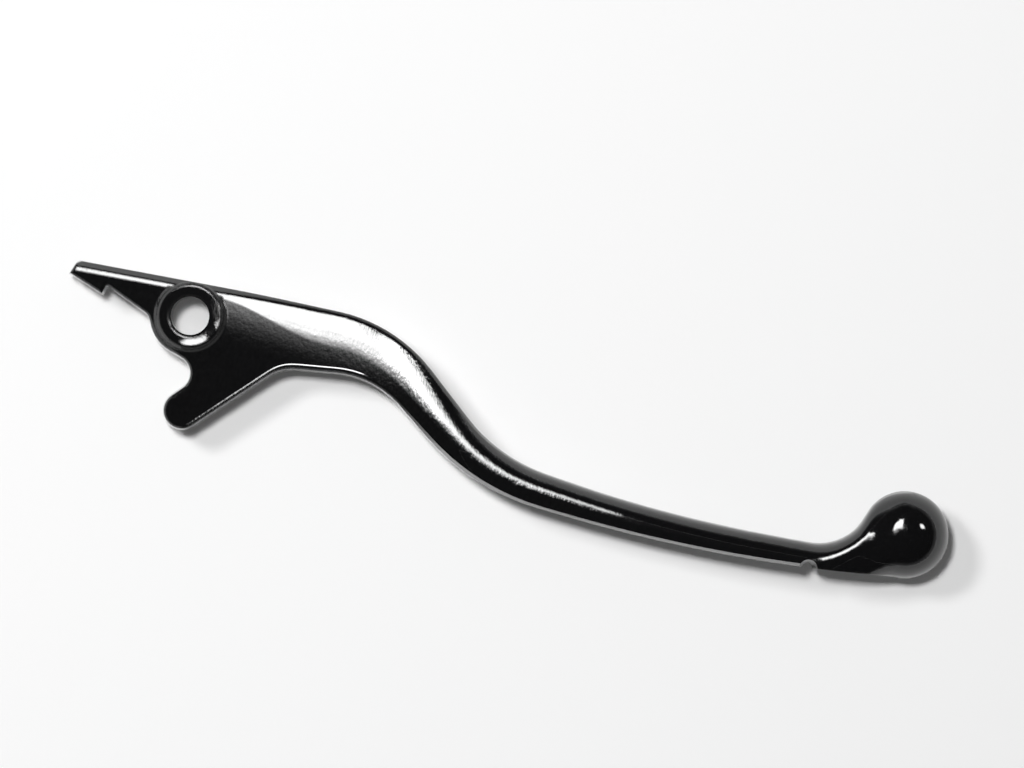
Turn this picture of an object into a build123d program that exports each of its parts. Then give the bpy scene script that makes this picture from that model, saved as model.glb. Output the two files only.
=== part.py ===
from build123d import *
from math import atan2, cos, degrees, radians, sin, sqrt, tan
import os

# A die-cast hand lever in one piece. The pivot bore is the origin and its axis is Z. X runs along
# the straight front edge of the head towards the ball, and Y points forward, away from the grip bar.

# Pivot eye, with a raised boss on both faces.
BORE_D = 8.0
BORE_CHAMFER = 0.5
BOSS_D = 14.0
BOSS_SPAN = 14.0
BOSS_CHAMFER = 0.7
BOSS_FLARE = 0.7
EYE_R = 8.65

# Head plate: its front wall ends in a bevel that leans back to a narrow facet, and its other walls
# have a draft. A wall's share is how much of the half thickness it takes up, bevel and all.
HEAD_T = 11.0
HEAD_FRONT = 7.1
HEAD_DRAFT = 4.5
HEAD_WALL_LEAN = 1.1
HEAD_WALL_SHARE = 0.95
HEAD_BEVEL = 1.6
FRONT_DRAFT = 1.0
FRONT_FACET = 0.9
EDGE_BREAK = 0.5
BROW_ROUND = 0.8

# Switch tail: it narrows to a blunt tip and has one barb on its rear edge.
TAIL_REACH = 26.65
TAIL_TIP_Y = 4.05
TAIL_TIP_LEAN = 1.1
TAIL_CORNER_DROP = 0.35
TAIL_CORNER_R = 1.5
TAIL_CORNER_ANGLE = 25.0
BARB_X = 18.75
BARB_Y = 0.83
BARB_STEP = 2.0
BARB_STEP_ANGLE = 71.5
BARB_ROOT_R = 0.4
TAIL_ANGLE = 24.6
TAIL_FOOT_R = 1.8
TAIL_DRAFT = 3.5

# Nose that pushes the piston, the round relief between it and the eye, and the arm behind it.
NOSE_X = 1.9
NOSE_DROP = 19.65
NOSE_R = 4.15
RELIEF_R = 3.4
EYE_IN_ANGLE = 62.0
EYE_OUT_ANGLE = 21.5
NOSE_IN_ANGLE = 135.0
ARM_ANGLE = 43.9
ARM_FILLET_R = 9.0
ARM_REAR_X = 30.0
ARM_REAR = 6.6
ARM_REAR_ANGLE = 5.4

# S bend: the front edge falls gently to the shoulder, drops, and turns again at the heel. The facet
# of the head grows into a crown along it.
FRONT_FALL_X = 12.0
FRONT_FALL_ANGLE = 1.6
FRONT_FALL_R = 300.0
SHOULDER_X = 42.3
SHOULDER_R = 33.0
DROP_ANGLE = 42.0
DROP_DEPTH = 9.8
REAR_DROP_ANGLE = 38.5
REAR_SHOULDER_R = 20.0
SHOULDER_DRAFT = 3.0
HEEL_R = 34.0
REAR_HEEL_R = 48.0
CROWN_START_X = 3.0
CROWN_END_X = 30.0
SHOULDER_CROWN = 7.0
SHOULDER_WALL_LEAN = 0.45
SHOULDER_WALL_SHARE = 0.77
SHOULDER_BEVEL = 0.8

# Grip: a D section, flat behind and crowned in front. The blade thickens over the rise, and takes
# the form of the grip over a stretch of its own.
GRIP_X = 100.5
GRIP_DROP = 22.62
GRIP_ANGLE = 10.2
GRIP_R = 280.0
GRIP_START = 12.0
GRIP_DEPTH = 7.4
GRIP_REAR_ANGLE = 6.0
GRIP_REAR_R = 333.0
GRIP_T = 13.4
GRIP_DRAFT = 1.5
GRIP_TOP_LEAN = 3.0
GRIP_CROWN = 4.4
GRIP_WALL_LEAN = 0.1
GRIP_WALL_SHARE = 0.25
GRIP_BEVEL = 1.2
RISE_START_X = 26.0
RISE_END_X = 76.5
GRIP_FORM_START_X = 39.8
GRIP_FORM_END_X = 82.5

# Ball end, its neck, and the half-round notch where the tip is meant to break off.
BALL_X = 154.5
BALL_DROP = 17.46
BALL_D = 18.2
BALL_FLAT = 0.15
BALL_REAR_ANGLE = 6.3
NECK_R = 11.0
NECK_SPAN = 20.0
BREAK_X = 135.8
BREAK_R = 1.9
BREAK_DRAFT = 8.0

half_head = HEAD_T / 2
half_grip = GRIP_T / 2
half_boss = BOSS_SPAN / 2
boss_r = BOSS_D / 2
ball_r = BALL_D / 2
overall = TAIL_REACH + BALL_X + ball_r
hair = 1e-5


def heading(angle):
    return Vector(cos(radians(angle)), sin(radians(angle)))


def meet(p, p_angle, q, q_angle):
    """Where the line through p meets the line through q, each given by its heading."""
    along = heading(p_angle)
    other = heading(q_angle)
    gap = q - p
    reach = (gap.X * other.Y - gap.Y * other.X) / (along.X * other.Y - along.Y * other.X)
    return p + along * reach


def arc_corner(centre, radius, start, end):
    """The sharp corner that an arc about centre rounds, from heading start to heading end."""
    return centre + heading((start + end) / 2 - 90) * (radius / cos(radians(end - start) / 2))


def rounded(corners, z=0.0, close=False):
    """Lines joined by tangent arcs: each corner is a point and the radius of its rounding."""
    count = len(corners)
    turns = []
    for i, (here, radius) in enumerate(corners):
        if radius == 0:
            turns.append((here, None, here))
            continue
        back = (corners[i - 1][0] - here).normalized()
        ahead = (corners[(i + 1) % count][0] - here).normalized()
        half = radians(back.get_angle(ahead)) / 2
        middle = here + (back + ahead).normalized() * (radius / sin(half) - radius)
        turns.append((here + back * (radius / tan(half)), middle, here + ahead * (radius / tan(half))))
    lift = Vector(0, 0, z)
    edges = []
    for i, (enter, middle, leave) in enumerate(turns):
        if middle is not None:
            edges.append(ThreePointArc(enter + lift, middle + lift, leave + lift))
        onward = turns[(i + 1) % count][0]
        if (close or i + 1 < count) and (onward - leave).length > hair:
            edges.append(Line(leave + lift, onward + lift))
    return edges


def drawn_in(corners, shifts):
    """The outline with each side moved inwards by its own shift. Outer corners tighten and inner ones
    widen, but a corner sharper than the edge break stays as it is."""
    count = len(corners)
    moved = []
    for i, (here, radius) in enumerate(corners):
        before = (here - corners[i - 1][0]).normalized()
        after = (corners[(i + 1) % count][0] - here).normalized()
        p = here + Vector(-before.Y, before.X) * shifts[i - 1]
        q = here + Vector(-after.Y, after.X) * shifts[i]
        turn = before.X * after.Y - before.Y * after.X
        reach = ((q - p).X * after.Y - (q - p).Y * after.X) / turn
        if radius > EDGE_BREAK:
            shift = (shifts[i - 1] + shifts[i]) / 2
            radius = max(radius - shift, radius / 10) if turn > 0 else radius + shift
        moved.append((p + before * reach, radius))
    return moved


def tower(low, high):
    """A solid with straight walls from one closed ring of edges to another above it."""
    walls = [Face.make_surface_from_curves(a, b) for a, b in zip(low, high)]
    return Solid(Shell(walls + [Face(Wire(low)), Face(Wire(high))]))


def ease(start, end, s, s_start, s_end):
    """A value that goes smoothly from start to end while s goes from s_start to s_end."""
    u = min(max((s - s_start) / (s_end - s_start), 0.0), 1.0)
    return start + (end - start) * u * u * (3 - 2 * u)


# Front edge of the lever, as a line in plan. It starts short of the tail and ends beside the middle
# of the ball.
station_step = 6.0
lead_in = TAIL_REACH + 2 * station_step
front_fall = Vector(FRONT_FALL_X, HEAD_FRONT)
shoulder = meet(front_fall, -FRONT_FALL_ANGLE, Vector(SHOULDER_X, 0), 90)
grip_bend = Vector(GRIP_X, -GRIP_DROP)
heel = meet(shoulder, -DROP_ANGLE, grip_bend, -GRIP_ANGLE)
front_edge = Wire(rounded([
    (Vector(-lead_in, HEAD_FRONT), 0),
    (front_fall, FRONT_FALL_R),
    (shoulder, SHOULDER_R),
    (heel, HEEL_R),
    (grip_bend, GRIP_R),
    (Vector(BALL_X, -GRIP_DROP), 0),
]))


def top_height(x):
    """Height of the crest over the parting plane, from the head to the grip."""
    return ease(half_head, half_grip, x, RISE_START_X, RISE_END_X)


def top_slope(x):
    """How much the top falls for each step from the crest to the rear."""
    return tan(radians(ease(0, GRIP_TOP_LEAN, x, RISE_START_X, RISE_END_X)))


# Rear outline at the parting plane: tail, eye, relief, nose, arm and the back of the grip. Each row
# has a corner, its radius, and the draft and rim height of the side that follows it. The sides that
# lie clear of the lever only close it, and have no rim.
clear = TAIL_REACH
eye = Vector(0, 0)
nose = Vector(NOSE_X, -NOSE_DROP)
nose_turn = (ARM_ANGLE - NOSE_IN_ANGLE) / 2
tail_corner = Vector(-TAIL_REACH + TAIL_TIP_LEAN, HEAD_FRONT - TAIL_CORNER_DROP)
barb = Vector(-BARB_X, BARB_Y)
barb_root = barb + heading(BARB_STEP_ANGLE) * BARB_STEP
eye_side = heading(-EYE_IN_ANGLE - 90) * EYE_R
tail_foot = meet(barb_root, -TAIL_ANGLE, eye_side, -EYE_IN_ANGLE)
eye_corner = arc_corner(eye, EYE_R, -EYE_IN_ANGLE, -EYE_OUT_ANGLE)
nose_front = arc_corner(nose, NOSE_R, -NOSE_IN_ANGLE, nose_turn)
nose_back = arc_corner(nose, NOSE_R, nose_turn, ARM_ANGLE)
relief = meet(eye_corner, -EYE_OUT_ANGLE, nose_front, -NOSE_IN_ANGLE)
arm_rear = Vector(ARM_REAR_X, -ARM_REAR)
arm_corner = meet(nose_back, ARM_ANGLE, arm_rear, ARM_REAR_ANGLE)
drop_front = (shoulder + heel) / 2
drop_rear = drop_front + heading(-DROP_ANGLE - 90) * DROP_DEPTH
rear_shoulder = meet(arm_rear, ARM_REAR_ANGLE, drop_rear, -REAR_DROP_ANGLE)
grip_rear = heel + heading(-GRIP_ANGLE) * GRIP_START + heading(-GRIP_ANGLE - 90) * GRIP_DEPTH
rear_heel = meet(drop_rear, -REAR_DROP_ANGLE, grip_rear, -GRIP_REAR_ANGLE)
rear_end = Vector(BALL_X, -BALL_DROP - ball_r + BALL_FLAT)
rear_bend = meet(grip_rear, -GRIP_REAR_ANGLE, rear_end, BALL_REAR_ANGLE)
past_ball = rear_end + heading(BALL_REAR_ANGLE) * clear
drop_rim = top_height(drop_front.X) - top_slope(drop_front.X) * (DROP_DEPTH - SHOULDER_CROWN)
grip_rim = half_grip - tan(radians(GRIP_TOP_LEAN)) * (GRIP_DEPTH - GRIP_CROWN)
outline = [
    (tail_corner + heading(TAIL_CORNER_ANGLE) * clear, 0, HEAD_DRAFT, None),
    (tail_corner, TAIL_CORNER_R, HEAD_DRAFT, half_head),
    (Vector(-TAIL_REACH, TAIL_TIP_Y), 0, TAIL_DRAFT, half_head),
    (barb, 0, TAIL_DRAFT, half_head),
    (barb_root, BARB_ROOT_R, TAIL_DRAFT, half_head),
    (tail_foot, TAIL_FOOT_R, HEAD_DRAFT, half_head),
    (eye_corner, EYE_R, HEAD_DRAFT, half_head),
    (relief, RELIEF_R, HEAD_DRAFT, half_head),
    (nose_front, NOSE_R, HEAD_DRAFT, half_head),
    (nose_back, NOSE_R, HEAD_DRAFT, half_head),
    (arm_corner, ARM_FILLET_R, HEAD_DRAFT, half_head),
    (rear_shoulder, REAR_SHOULDER_R, SHOULDER_DRAFT, drop_rim),
    (rear_heel, REAR_HEEL_R, GRIP_DRAFT, grip_rim),
    (rear_bend, GRIP_REAR_R, GRIP_DRAFT, grip_rim),
    (past_ball, 0, 0, None),
    (Vector(past_ball.X, clear), 0, 0, None),
]
corners = [(point, radius) for point, radius, draft, rim in outline]
wall_top = max(ball_r, half_grip, half_head) + EDGE_BREAK


def wall_ring(z):
    """The drafted walls at a height over the parting plane."""
    shifts = [z * tan(radians(draft)) for point, radius, draft, rim in outline]
    return rounded(drawn_in(corners, shifts), z, close=True)


def bevel_ring(z):
    """The bevel that breaks the rim, at a height: it leaves each wall an edge break below its rim."""
    shifts = []
    for point, radius, draft, rim in outline:
        if rim is None:
            shifts.append(-EDGE_BREAK)
        else:
            start = rim - EDGE_BREAK
            shifts.append(start * tan(radians(draft)) + z - start)
    return rounded(drawn_in(corners, shifts), z, close=True)


block = tower(wall_ring(0), wall_ring(wall_top))


# Skin: the front wall, its bevel, the rounded brow over it, the crown and the top of the lever, lofted
# through sections across the front edge. In a section n runs from the front edge to the rear. Its
# back stays behind the rear walls, and near the ball it closes in to the ball's own circle, which is
# parted at the same edges. A crown bends towards a corner: half way across where it is flat, and near
# the wall where it is round. The sections stand a step apart, and closer and closer towards the neck.
ball_wall_angle = 15.0
ball_brow_angle = 4.0
ball_sill_share = 0.4
ball_back_angle = 20.0
crown_fullness = 0.55
flat_bend = 0.5
round_bend = 0.07
back_margin = GRIP_DEPTH / 2
neck_x = BALL_X - NECK_SPAN
ball_n = BALL_DROP - GRIP_DROP


def across(origin, angle):
    """Plane across the lever: local x runs to the rear and local y up."""
    along = heading(angle)
    return Plane(origin=origin, x_dir=(along.Y, -along.X, 0), z_dir=(-along.X, -along.Y, 0))


def arc_handle(angle):
    """Length of a cubic curve's handles along an arc of the given angle, for a radius of one."""
    return 4 / 3 * tan(radians(angle) / 4)


def section(plane, front_n, sill, wall, corner, crown_n, top, back, roundness=0.0):
    """Wall to its sill, bevel, rounded brow, crown, top and back, where roundness turns the last two
    into arcs of radius top."""
    start = Vector(front_n, 0)
    brow = start + wall
    bevel = (wall - sill).normalized()
    crest = Vector(crown_n, top)
    fall = heading(ball_back_angle - 90)
    top_bow = top * arc_handle(90 - ball_back_angle)
    back_bow = top * arc_handle(2 * ball_back_angle)
    below = Vector(back.X, -back.Y)
    crest_out = (crest + (back - crest) / 3) * (1 - roundness) + (crest + Vector(top_bow, 0)) * roundness
    back_in = (back - (back - crest) / 3) * (1 - roundness) + (back - fall * top_bow) * roundness
    back_out = (back + (below - back) / 3) * (1 - roundness) + (back + fall * back_bow) * roundness
    brow_out = brow + (corner - brow) * crown_fullness
    crest_in = crest + (corner - crest) * crown_fullness
    share = BROW_ROUND / (3 * (brow_out - brow).length + 3 * BROW_ROUND)
    first = brow + (brow_out - brow) * share
    middle = brow_out + (crest_in - brow_out) * share
    crown_in = crest_in + (crest - crest_in) * share
    before = first + (middle - first) * share
    after = middle + (crown_in - middle) * share
    brow_end = before + (after - before) * share
    reach = (brow_end - brow).length
    brow_start = brow - bevel * reach
    bow = reach * crown_fullness
    brow_in = brow_start + bevel * bow
    brow_off = brow_end - (after - before).normalized() * bow
    upper = [start + sill, brow_start, brow_in, brow_off, brow_end, after, crown_in, crest]
    upper += [crest_out, back_in, back, back_out]
    lower = [Vector(point.X, -point.Y) for point in upper]
    edges = [
        Line(start, upper[0]),
        Line(upper[0], brow_start),
        Bezier(*upper[1:5]),
        Bezier(*upper[4:8]),
        Bezier(*upper[7:11]),
        Bezier(back, back_out, lower[11], lower[10]),
        Bezier(*lower[10:6:-1]),
        Bezier(*lower[7:3:-1]),
        Bezier(*lower[4:0:-1]),
        Line(lower[1], lower[0]),
        Line(lower[0], start),
    ]
    return plane.from_local_coords(Wire(edges))


def ball_section(plane):
    """The ball's full circle, parted like the other sections."""
    rim = Vector(ball_n, 0)
    brow = 180 - ball_wall_angle
    sill = 180 - ball_wall_angle * ball_sill_share
    stops = [180, sill, brow + ball_brow_angle, brow - ball_brow_angle, 90, ball_back_angle]
    stops += [-stop for stop in reversed(stops)]
    edges = []
    for begin, end in zip(stops, stops[1:]):
        points = [rim + heading(angle) * ball_r for angle in (begin, (begin + end) / 2, end)]
        edges.append(ThreePointArc(*points))
    return plane.from_local_coords(Wire(edges))


def fillet_to_ball(x, base, ball_y):
    """Height over a line at base, with the neck's fillet and then the ball rising from it."""
    fillet_x = BALL_X - sqrt((ball_r + NECK_R) ** 2 - (base + NECK_R - ball_y) ** 2)
    touch_x = fillet_x + (BALL_X - fillet_x) * NECK_R / (NECK_R + ball_r)
    if x <= fillet_x:
        return base
    if x <= touch_x:
        return base + NECK_R - sqrt(NECK_R ** 2 - (x - fillet_x) ** 2)
    return ball_y + sqrt(ball_r ** 2 - (x - BALL_X) ** 2)


def along_blade(x, head, shoulder, grip):
    """A value of the section, from the head through the shoulder to the grip."""
    at_shoulder = ease(head, shoulder, x, CROWN_START_X, CROWN_END_X)
    return at_shoulder + ease(0, grip - shoulder, x, GRIP_FORM_START_X, GRIP_FORM_END_X)


sections = []
neck_stations = 10
step_growth = 1.25
step = NECK_SPAN / neck_stations
stations = [front_edge.length - NECK_SPAN]
while stations[-1] > step:
    stations.append(stations[-1] - step)
    step = min(step * step_growth, station_step)
head_reach = HEAD_FRONT + NOSE_DROP + NOSE_R + back_margin
arm_reach = HEAD_FRONT + ARM_REAR + back_margin
for length in reversed(stations):
    place = front_edge.position_at(length, PositionMode.LENGTH)
    along = front_edge.tangent_at(length, PositionMode.LENGTH)
    crown = along_blade(place.X, FRONT_FACET, SHOULDER_CROWN, GRIP_CROWN)
    lean = along_blade(place.X, HEAD_WALL_LEAN, SHOULDER_WALL_LEAN, GRIP_WALL_LEAN)
    share = along_blade(place.X, HEAD_WALL_SHARE, SHOULDER_WALL_SHARE, GRIP_WALL_SHARE)
    bevel = along_blade(place.X, HEAD_BEVEL, SHOULDER_BEVEL, GRIP_BEVEL)
    back_n = along_blade(place.X, head_reach, arm_reach, GRIP_DEPTH + back_margin)
    top = top_height(place.X)
    crown_n = lean + crown
    back = Vector(back_n, top - top_slope(place.X) * (back_n - crown_n))
    wall = Vector(lean, top * share)
    sill_z = top * share - bevel
    sill = Vector(sill_z * tan(radians(FRONT_DRAFT)), sill_z)
    facet_middle = (wall + Vector(crown_n, top)) / 2
    bend = along_blade(place.X, flat_bend, flat_bend, round_bend)
    bend_corner = Vector(lean + crown * bend, top + top_slope(place.X) * crown * (1 - bend))
    corner = facet_middle + (bend_corner - facet_middle) * along_blade(place.X, 0, 1, 1)
    plane = across(place, degrees(atan2(along.Y, along.X)))
    sections.append(section(plane, 0, sill, wall, corner, crown_n, top, back))

grip_crown_n, grip_back = crown_n, back
ball_back = Vector(ball_n, 0) + heading(ball_back_angle) * ball_r
for i in range(1, neck_stations):
    share = i / neck_stations
    x = neck_x + NECK_SPAN * share
    front_n = -(fillet_to_ball(x, -GRIP_DROP, -BALL_DROP) + GRIP_DROP)
    top = fillet_to_ball(x, half_grip, 0)
    closing = ease(0, 1, share, 0, 1)
    crown_n = grip_crown_n + (ball_n - grip_crown_n) * closing
    back = grip_back + (ball_back - grip_back) * closing
    run = crown_n - front_n
    wall = Vector(run * (1 - cos(radians(ball_wall_angle))), top * sin(radians(ball_wall_angle)))
    corner = Vector(front_n, 0) + wall * (top / wall.Y)
    plane = across(Vector(x, -GRIP_DROP), 0)
    sill = wall * ball_sill_share
    sections.append(section(plane, front_n, sill, wall, corner, crown_n, top, back, closing))
sections.append(ball_section(across(Vector(BALL_X, -GRIP_DROP), 0)))
skin = Solid.make_loft(sections)

# Upper half of the casting, between the rear walls and the skin. Its rear rim is broken by a bevel
# from the tail to the notch, and stays crisp from there to the ball.
upper = block & skin
half_space = Box(2 * overall, 2 * overall, 2 * overall)
bevel_base = half_head - 2 * EDGE_BREAK
bevel_top = max(half_head, half_grip) + EDGE_BREAK / 2
bevelled = tower(bevel_ring(bevel_base), bevel_ring(bevel_top))
over_rim = Pos(BREAK_X - overall, 0, (bevel_base + bevel_top) / 2)
over_rim *= Box(2 * overall, 2 * overall, bevel_top - bevel_base)
upper -= over_rim - bevelled
casting = upper + mirror(upper, Plane.XY)

# Outer half of the ball.
ball = Pos(BALL_X, -BALL_DROP) * Sphere(ball_r)
casting += ball & Pos(BALL_X + overall, 0, 0) * half_space

# Boss on both faces. Its foot flares out over the flat of the head, and ends at the front facet.
boss = Cylinder(boss_r, BOSS_SPAN)
boss = chamfer(boss.edges().filter_by(GeomType.CIRCLE), BOSS_CHAMFER)
foot = Cone(boss_r + 2 * BOSS_FLARE, boss_r, 2 * BOSS_FLARE)
flat_front = HEAD_FRONT - HEAD_WALL_LEAN - FRONT_FACET
foot = Pos(0, 0, half_head) * foot & Pos(0, flat_front - overall, 0) * half_space
casting += boss + foot + mirror(foot, Plane.XY)

# Pivot bore with a chamfer at each end, and the notch across the back of the grip, which narrows from
# the rims to the parting plane.
bore_r = BORE_D / 2
casting -= Cylinder(bore_r, BOSS_SPAN)
for side in (1, -1):
    mouth = Pos(0, 0, side * (half_boss - BORE_CHAMFER / 2))
    casting -= mouth * Rot(90 - 90 * side) * Cone(bore_r, bore_r + BORE_CHAMFER, BORE_CHAMFER)
cut_line = Edge.make_line((BREAK_X, -BALL_DROP, 0), (BREAK_X, -BALL_DROP - clear, 0))
break_y = min(point.Y for point in Wire(wall_ring(0)).intersect(cut_line).vertices())
break_slope = tan(radians(BREAK_DRAFT))
break_root_r = BREAK_R - half_grip * break_slope
notch = Cone(break_root_r, break_root_r + ball_r * break_slope, ball_r)
notch = Pos(BREAK_X, break_y, ball_r / 2) * notch
casting -= notch + mirror(notch, Plane.XY)

lever = casting.solid()
lever.label = "lever"
os.makedirs("parts", exist_ok=True)
export_step(lever, "parts/lever.step")
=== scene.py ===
import math
import bpy
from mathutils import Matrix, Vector

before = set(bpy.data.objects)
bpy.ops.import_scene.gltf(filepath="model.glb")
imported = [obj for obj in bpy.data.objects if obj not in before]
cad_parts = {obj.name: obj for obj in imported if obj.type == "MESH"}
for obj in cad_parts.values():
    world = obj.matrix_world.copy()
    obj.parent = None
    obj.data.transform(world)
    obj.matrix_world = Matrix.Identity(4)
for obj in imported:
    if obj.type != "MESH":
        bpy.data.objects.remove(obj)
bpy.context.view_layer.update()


# Lever blade: one aluminium die casting from the switch tail to the ball, sprayed with gloss black
# paint and baked. The paint softens the edges, gathers in a bead along the rear rim, lies unevenly on
# the boss and lets the grain of the casting show. Along the grip the rear rim has a painted highlight.
class Signal:
    """A socket of a shader. Sums with it add Math nodes."""

    def __init__(self, tree, socket=None):
        self.tree = tree
        self.socket = socket

    def node(self, kind, settings=None, sockets=None, output=0):
        """A new node of this shader, its settings made before its sockets."""
        node = self.tree.nodes.new("ShaderNode" + kind)
        for name, value in (settings or {}).items():
            setattr(node, name, value)
        for key, value in (sockets or {}).items():
            if isinstance(value, Signal):
                self.tree.links.new(value.socket, node.inputs[key])
            else:
                node.inputs[key].default_value = value
        return Signal(self.tree, node.outputs[output] if node.outputs else None)

    def math(self, operation, *terms):
        """A Math node."""
        return self.node("Math", {"operation": operation}, dict(enumerate(terms)))

    def vector(self, operation, *terms, output="Value"):
        """A Vector Math node, for the number or the vector that it gives."""
        return self.node("VectorMath", {"operation": operation}, dict(enumerate(terms)), output)

    def axis(self, letter):
        """One of the three numbers of this vector."""
        return self.node("SeparateXYZ", sockets={"Vector": self}, output=letter)

    def blend(self, low, high):
        """A colour that goes from low to high with this number, by a Mix node, which has its two
        colours at inputs 6 and 7 and the result at output 2."""
        return self.node("Mix", {"data_type": "RGBA"}, {"Factor": self, 6: low, 7: high}, 2)

    def step(self, low, high):
        """0 under low, 1 over high and smooth between."""
        ends = {"Value": self, "From Min": low, "From Max": high}
        return self.node("MapRange", {"interpolation_type": "SMOOTHSTEP"}, ends)

    def __add__(self, other):
        return self.math("ADD", self, other)

    __radd__ = __add__

    def __mul__(self, other):
        return self.math("MULTIPLY", self, other)

    __rmul__ = __mul__

    def __sub__(self, other):
        return self.math("SUBTRACT", self, other)

    def __rsub__(self, other):
        return self.math("SUBTRACT", other, self)


def empty_shader(owner):
    """The shader of a material, the world or a lamp, cleared."""
    owner.use_nodes = True
    owner.node_tree.nodes.clear()
    return Signal(owner.node_tree)


MM = 0.001
PAINT_DARK = (0.0015, 0.0015, 0.0017, 1)
PAINT_LIGHT = (0.006, 0.006, 0.0065, 1)
PAINT_IOR = 1.6
SMOOTH_ROUGHNESS, GRAIN_ROUGHNESS = 0.04, 0.06
EDGE_ROUND = 0.6 * MM
EDGE_SAMPLES = 6
NOISE_DETAIL = 2.0
PEEL_SIZE, PEEL_HEIGHT = 1.2 * MM, 0.02 * MM
GRAIN_SIZE = 0.4 * MM
GRAIN_STRETCH = (1, 0.4, 0.4)
HEAD_GRAIN, GRIP_GRAIN, BALL_GRAIN = 0.012 * MM, 0.05 * MM, 0.005 * MM
GRIP_START, GRIP_FULL = 18 * MM, 56 * MM
BALL_START, BALL_FULL = 76 * MM, 100 * MM
ARM_RIM = ((4.55, -22.45), 43.9)
ARM_REAR_RIM = ((30.0, -6.1), 5.4)
ARM_FILLET = 3.2 * MM
REAR_SHOULDER = Vector((33.74, -26.34, 0)) * MM
REAR_SHOULDER_R = 20.5 * MM
REAR_SHOULDER_START = 31.86 * MM
BEAD_START, BEAD_END = 0.35 * MM, 1.05 * MM
BEAD_HEIGHT = 0.112 * MM
THIN_BEAD_START, THIN_BEAD_HEIGHT = 0.7 * MM, 0.05 * MM
THIN_FROM, THIN_FULL = 16 * MM, 22 * MM
BEAD_FADE, BEAD_LAST = 36.5 * MM, 39.0 * MM
BOSS_TOP = 6.5 * MM
DISH_START, DISH_END = 4.3 * MM, 6.9 * MM
DISH_HEIGHT = 0.30 * MM
DISH_SIDE = (0.62, -0.79, 0)
DISH_EDGE, DISH_MIDDLE = 0.5, 0.9
RIM_UP_FROM, RIM_UP_TO = (0.5, 0.6), (0.8, 0.9)
RIM_BACK = (-0.6, -0.5)
# Pale colour of the painted highlight on the rear rim of the grip, not a colour of the paint itself.
RIM_PAINTED_HIGHLIGHT = (0.34, 0.34, 0.34, 1)
RIM_HIGHLIGHT_START, RIM_HIGHLIGHT_FULL = 44 * MM, 56 * MM
RIM_HIGHLIGHT_FADE, RIM_HIGHLIGHT_LAST = 138 * MM, 141 * MM

paint = bpy.data.materials.new("gloss_black_paint")
shader = empty_shader(paint)
place = shader.node("TexCoord", output="Object")
plan = shader.vector("MULTIPLY", place, (1, 1, 0), output="Vector")
along = place.axis("X")


def noise(size, stretch=(1, 1, 1)):
    """Noise whose patches are about as wide as size."""
    spot = shader.vector("MULTIPLY", place, stretch, output="Vector")
    sockets = {"Vector": spot, "Scale": 1 / size, "Detail": NOISE_DETAIL}
    return shader.node("TexNoise", sockets=sockets, output="Fac")


def inside(rim):
    """Distance inwards from a straight rim, given by a point and its angle."""
    (x, y), angle = rim
    across = Vector((-math.sin(math.radians(angle)), math.cos(math.radians(angle)), 0))
    return shader.vector("DOT_PRODUCT", place, across) - across.dot(Vector((x, y, 0)) * MM)


peel = noise(PEEL_SIZE)
grain = noise(GRAIN_SIZE, GRAIN_STRETCH)
to_grip = along.step(GRIP_START, GRIP_FULL)
to_ball = along.step(BALL_START, BALL_FULL)
grain_height = HEAD_GRAIN + (GRIP_GRAIN - HEAD_GRAIN) * to_grip + (BALL_GRAIN - GRIP_GRAIN) * to_ball

arm_reach = shader.math("SMOOTH_MAX", inside(ARM_RIM), inside(ARM_REAR_RIM), ARM_FILLET)
shoulder_reach = shader.vector("DISTANCE", plan, REAR_SHOULDER) - REAR_SHOULDER_R
past_arm = shader.math("GREATER_THAN", along, REAR_SHOULDER_START)
rim_reach = arm_reach + (shoulder_reach - arm_reach) * past_arm
to_thin = along.step(THIN_FROM, THIN_FULL)
arm_bead = BEAD_HEIGHT * (1 - rim_reach.step(BEAD_START, BEAD_END)) * (1 - to_thin)
thin_bead = THIN_BEAD_HEIGHT * (1 - rim_reach.step(THIN_BEAD_START, BEAD_END)) * to_thin
bead = (arm_bead + thin_bead) * (1 - along.step(BEAD_FADE, BEAD_LAST))

from_axis = shader.vector("LENGTH", plan)
on_boss = shader.math("GREATER_THAN", shader.math("ABSOLUTE", place.axis("Z")), BOSS_TOP)
to_dish_side = shader.math("DIVIDE", shader.vector("DOT_PRODUCT", plan, DISH_SIDE), from_axis)
dish = from_axis.step(DISH_START, DISH_END) * on_boss * to_dish_side.step(DISH_EDGE, DISH_MIDDLE)

relief = peel * PEEL_HEIGHT + grain * grain_height + bead + dish * DISH_HEIGHT
soft_edges = shader.node("Bevel", {"samples": EDGE_SAMPLES}, {"Radius": EDGE_ROUND})
coat_relief = {"Strength": 1.0, "Distance": 1.0, "Height": relief, "Normal": soft_edges}
bump = shader.node("Bump", sockets=coat_relief)

facing = shader.node("NewGeometry", output="True Normal")
upward = facing.axis("Z")
# Painted highlight: along the grip, the rear rim's chamfer is coloured pale where it faces back and up.
# This stands in for the bright card reflected at that edge.
on_rim = upward.step(*RIM_UP_FROM) * (1 - upward.step(*RIM_UP_TO)) * (1 - facing.axis("Y").step(*RIM_BACK))
grip_rim_painted_highlight = on_rim * along.step(RIM_HIGHLIGHT_START, RIM_HIGHLIGHT_FULL) * (1 - along.step(RIM_HIGHLIGHT_FADE, RIM_HIGHLIGHT_LAST))
colour = grip_rim_painted_highlight.blend(grain.blend(PAINT_DARK, PAINT_LIGHT), RIM_PAINTED_HIGHLIGHT)

roughness = SMOOTH_ROUGHNESS + GRAIN_ROUGHNESS * grain
finish = {"Base Color": colour, "Roughness": roughness, "IOR": PAINT_IOR, "Normal": bump}
coat = shader.node("BsdfPrincipled", sockets=finish)
shader.node("OutputMaterial", sockets={"Surface": coat})
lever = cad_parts["lever"]
lever.data.materials.clear()
lever.data.materials.append(paint)

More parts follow.
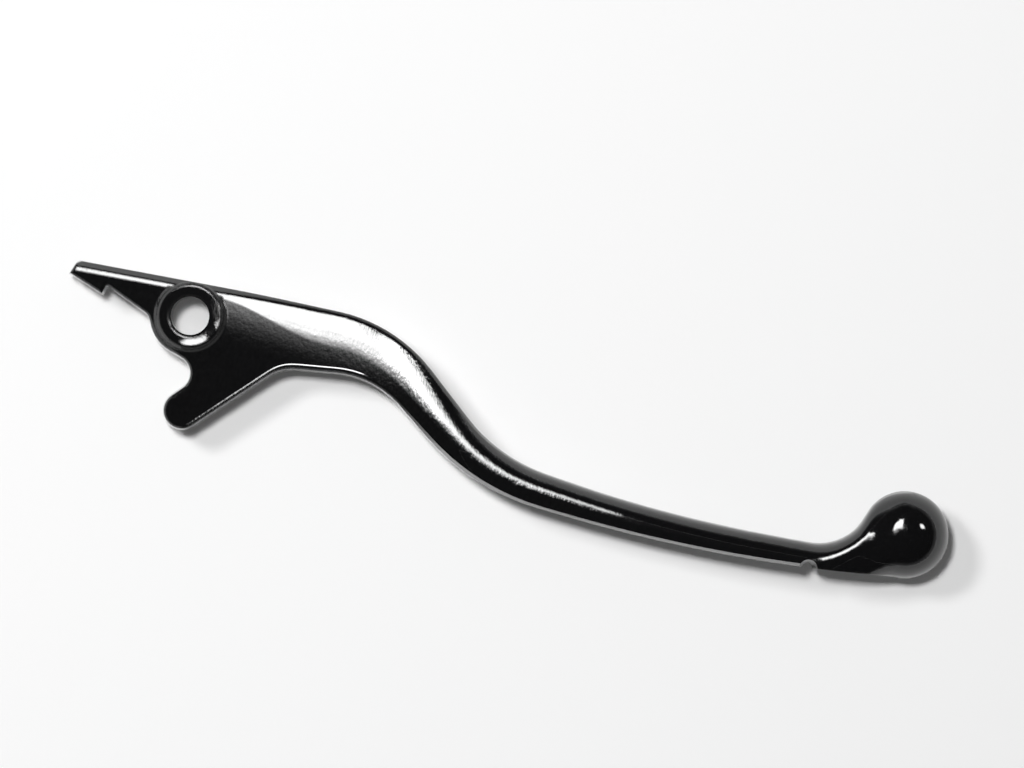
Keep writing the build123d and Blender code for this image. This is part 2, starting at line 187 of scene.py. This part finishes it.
# Table top: a large sheet of matt white card. The lever lies on it with its boss and its ball, so the
# card leans by the difference between the two. Away from the lever it goes over into plain white.
BOSS_REST = Vector((-6.26, 0.71, -7.0)) * MM
BALL_REST = Vector((154.5, -17.46, -9.1)) * MM
UP = Vector((0, 0, 1))
CARD_HALF = 1.5
CARD_CORNERS = ((-1, -1), (1, -1), (1, 1), (-1, 1))
CARD_WHITE = (0.9, 0.9, 0.9, 1)
CARD_ROUGHNESS = 0.9
CARD_GLOW = 0.06
WHITE_FROM, WHITE_FULL = 0.25, 1.0
BLACK, WHITE = (0, 0, 0, 1), (1, 1, 1, 1)

lengthways = (BALL_REST - BOSS_REST).normalized()
sideways = UP.cross(lengthways).normalized()
card_points = [BOSS_REST + (lengthways * a + sideways * b) * CARD_HALF for a, b in CARD_CORNERS]
card_mesh = bpy.data.meshes.new("white_card")
card_mesh.from_pydata(card_points, [], [(0, 1, 2, 3)])
card = bpy.data.objects.new("white_card", card_mesh)
bpy.context.scene.collection.objects.link(card)

card_paper = bpy.data.materials.new("matt_white_card")
shader = empty_shader(card_paper)
to_camera = shader.node("LightPath", output="Is Camera Ray")
in_gloss = shader.node("LightPath", output="Is Glossy Ray")
through_glass = shader.node("LightPath", output="Is Transmission Ray")
seen = shader.math("MAXIMUM", shader.math("MAXIMUM", to_camera, in_gloss), through_glass)
from_pivot = shader.vector("LENGTH", shader.node("TexCoord", output="Object"))
glow = seen * (CARD_GLOW + (1 - CARD_GLOW) * from_pivot.step(WHITE_FROM, WHITE_FULL))
paper = {"Base Color": CARD_WHITE, "Roughness": CARD_ROUGHNESS, "Specular IOR Level": 0.0}
paper |= {"Emission Color": glow.blend(BLACK, WHITE), "Emission Strength": 1.0}
sheet = shader.node("BsdfPrincipled", sockets=paper)
shader.node("OutputMaterial", sockets={"Surface": sheet})
card_mesh.materials.append(card_paper)

# Studio: soft panels that show in the gloss of the paint, one over the far side of the table with its
# left corners cut, two small ones low over the shoulder and the bend, one to the right, and a low pale
# backdrop all round. A lamp beside the camera and one to the left light the card.
PHOTO_TURN = math.radians(10.6)
LOOK_AT = Vector((68.3, -1.63, 0)) * MM
ROOM_LIGHT = 0.05
ROOM_IN_GLOSS = 0.03
BACKDROP_IN_GLOSS = 0.4
BACKDROP_TOP = 0.22
CUT_SOFTNESS = 0.06

world = bpy.data.worlds.new("studio_room")
bpy.context.scene.world = world
shader = empty_shader(world)
to_camera = shader.node("LightPath", output="Is Camera Ray")
in_gloss = shader.node("LightPath", output="Is Glossy Ray")
above_table = shader.node("TexCoord", output="Generated").axis("Z")
gloss = BACKDROP_IN_GLOSS + (ROOM_IN_GLOSS - BACKDROP_IN_GLOSS) * above_table.step(0.0, BACKDROP_TOP)
level = ROOM_LIGHT + (1 - ROOM_LIGHT) * to_camera + (gloss - ROOM_LIGHT) * in_gloss
room = shader.node("Background", sockets={"Color": WHITE, "Strength": level})
shader.node("OutputWorld", sockets={"Surface": room})


def panel(name, place, size, radiance, shine, turn=0, spread=180, fade=0.0, left_cuts=(1.0, 0.0)):
    """An area lamp that faces down, placed from the middle of the view in the view's own directions.
    It lights either the gloss or the card. Its near edge fades in over a share of its depth, and its
    far and near corners on the left are cut off."""
    lamp = bpy.data.lights.new(name, "AREA")
    lamp.shape = "RECTANGLE"
    lamp.size, lamp.size_y = size
    lamp.spread = math.radians(spread)
    lamp.energy = radiance * math.pi * size[0] * size[1]
    if fade > 0:
        shader = empty_shader(lamp)
        spot = shader.node("TexCoord", output="UV")
        depth = spot.axis("Y")
        side = spot.axis("X")
        far_cut, near_cut = left_cuts
        level = depth.step(0.0, fade) * (1 - (depth - side).step(far_cut, far_cut + CUT_SOFTNESS))
        level = level * (depth + side).step(near_cut - CUT_SOFTNESS, near_cut)
        light = shader.node("Emission", sockets={"Strength": level * level})
        shader.node("OutputLight", sockets={"Surface": light})
    right, away, height = place
    rightwards = Vector((math.cos(PHOTO_TURN), math.sin(PHOTO_TURN), 0))
    body = bpy.data.objects.new(name, lamp)
    body.location = LOOK_AT + rightwards * right + UP.cross(rightwards) * away + UP * height
    body.rotation_euler = (0, 0, PHOTO_TURN + math.radians(turn))
    body.visible_diffuse = not shine
    body.visible_glossy = shine
    bpy.context.scene.collection.objects.link(body)


panel("far_panel_shine", place=(-0.054, 0.1475, 0.300), size=(0.192, 0.225), radiance=20.0, shine=True,
      fade=0.33, left_cuts=(0.47, 0.33))
panel("shoulder_panel_shine", place=(-0.038, 0.0105, 0.040), size=(0.050, 0.018), radiance=3.0, shine=True,
      turn=-18, spread=100, fade=0.9)
panel("bend_panel_shine", place=(0.0051, 0.0080, 0.040), size=(0.0545, 0.036), radiance=14.0, shine=True,
      turn=-14, spread=100, fade=0.5)
panel("right_panel_shine", place=(0.745, 0.316, 0.588), size=(0.25, 0.18), radiance=18.0, shine=True)
panel("key_lamp", place=(-0.167, 0.239, 1.5), size=(0.16, 0.16), radiance=194.0, shine=False)
panel("left_lamp", place=(-0.718, 0.503, 1.3), size=(0.30, 0.30), radiance=36.0, shine=False)

# Camera: a long lens on a stand straight above the table, turned so that the head of the lever lies to
# the upper left of the picture and the ball to the right.
CAMERA_HEIGHT = 1.8
FIELD_WIDTH = 213.3 * MM
SENSOR_WIDTH = 36.0
NEAREST_SEEN = 0.05

lens = bpy.data.cameras.new("camera")
lens.sensor_width = SENSOR_WIDTH
lens.lens = SENSOR_WIDTH * CAMERA_HEIGHT / FIELD_WIDTH
lens.clip_start = NEAREST_SEEN
camera = bpy.data.objects.new("camera", lens)
camera.location = LOOK_AT + UP * CAMERA_HEIGHT
camera.rotation_euler = (0, 0, PHOTO_TURN)
bpy.context.scene.collection.objects.link(camera)
bpy.context.scene.camera = camera

bpy.context.scene.view_settings.view_transform = "Standard"
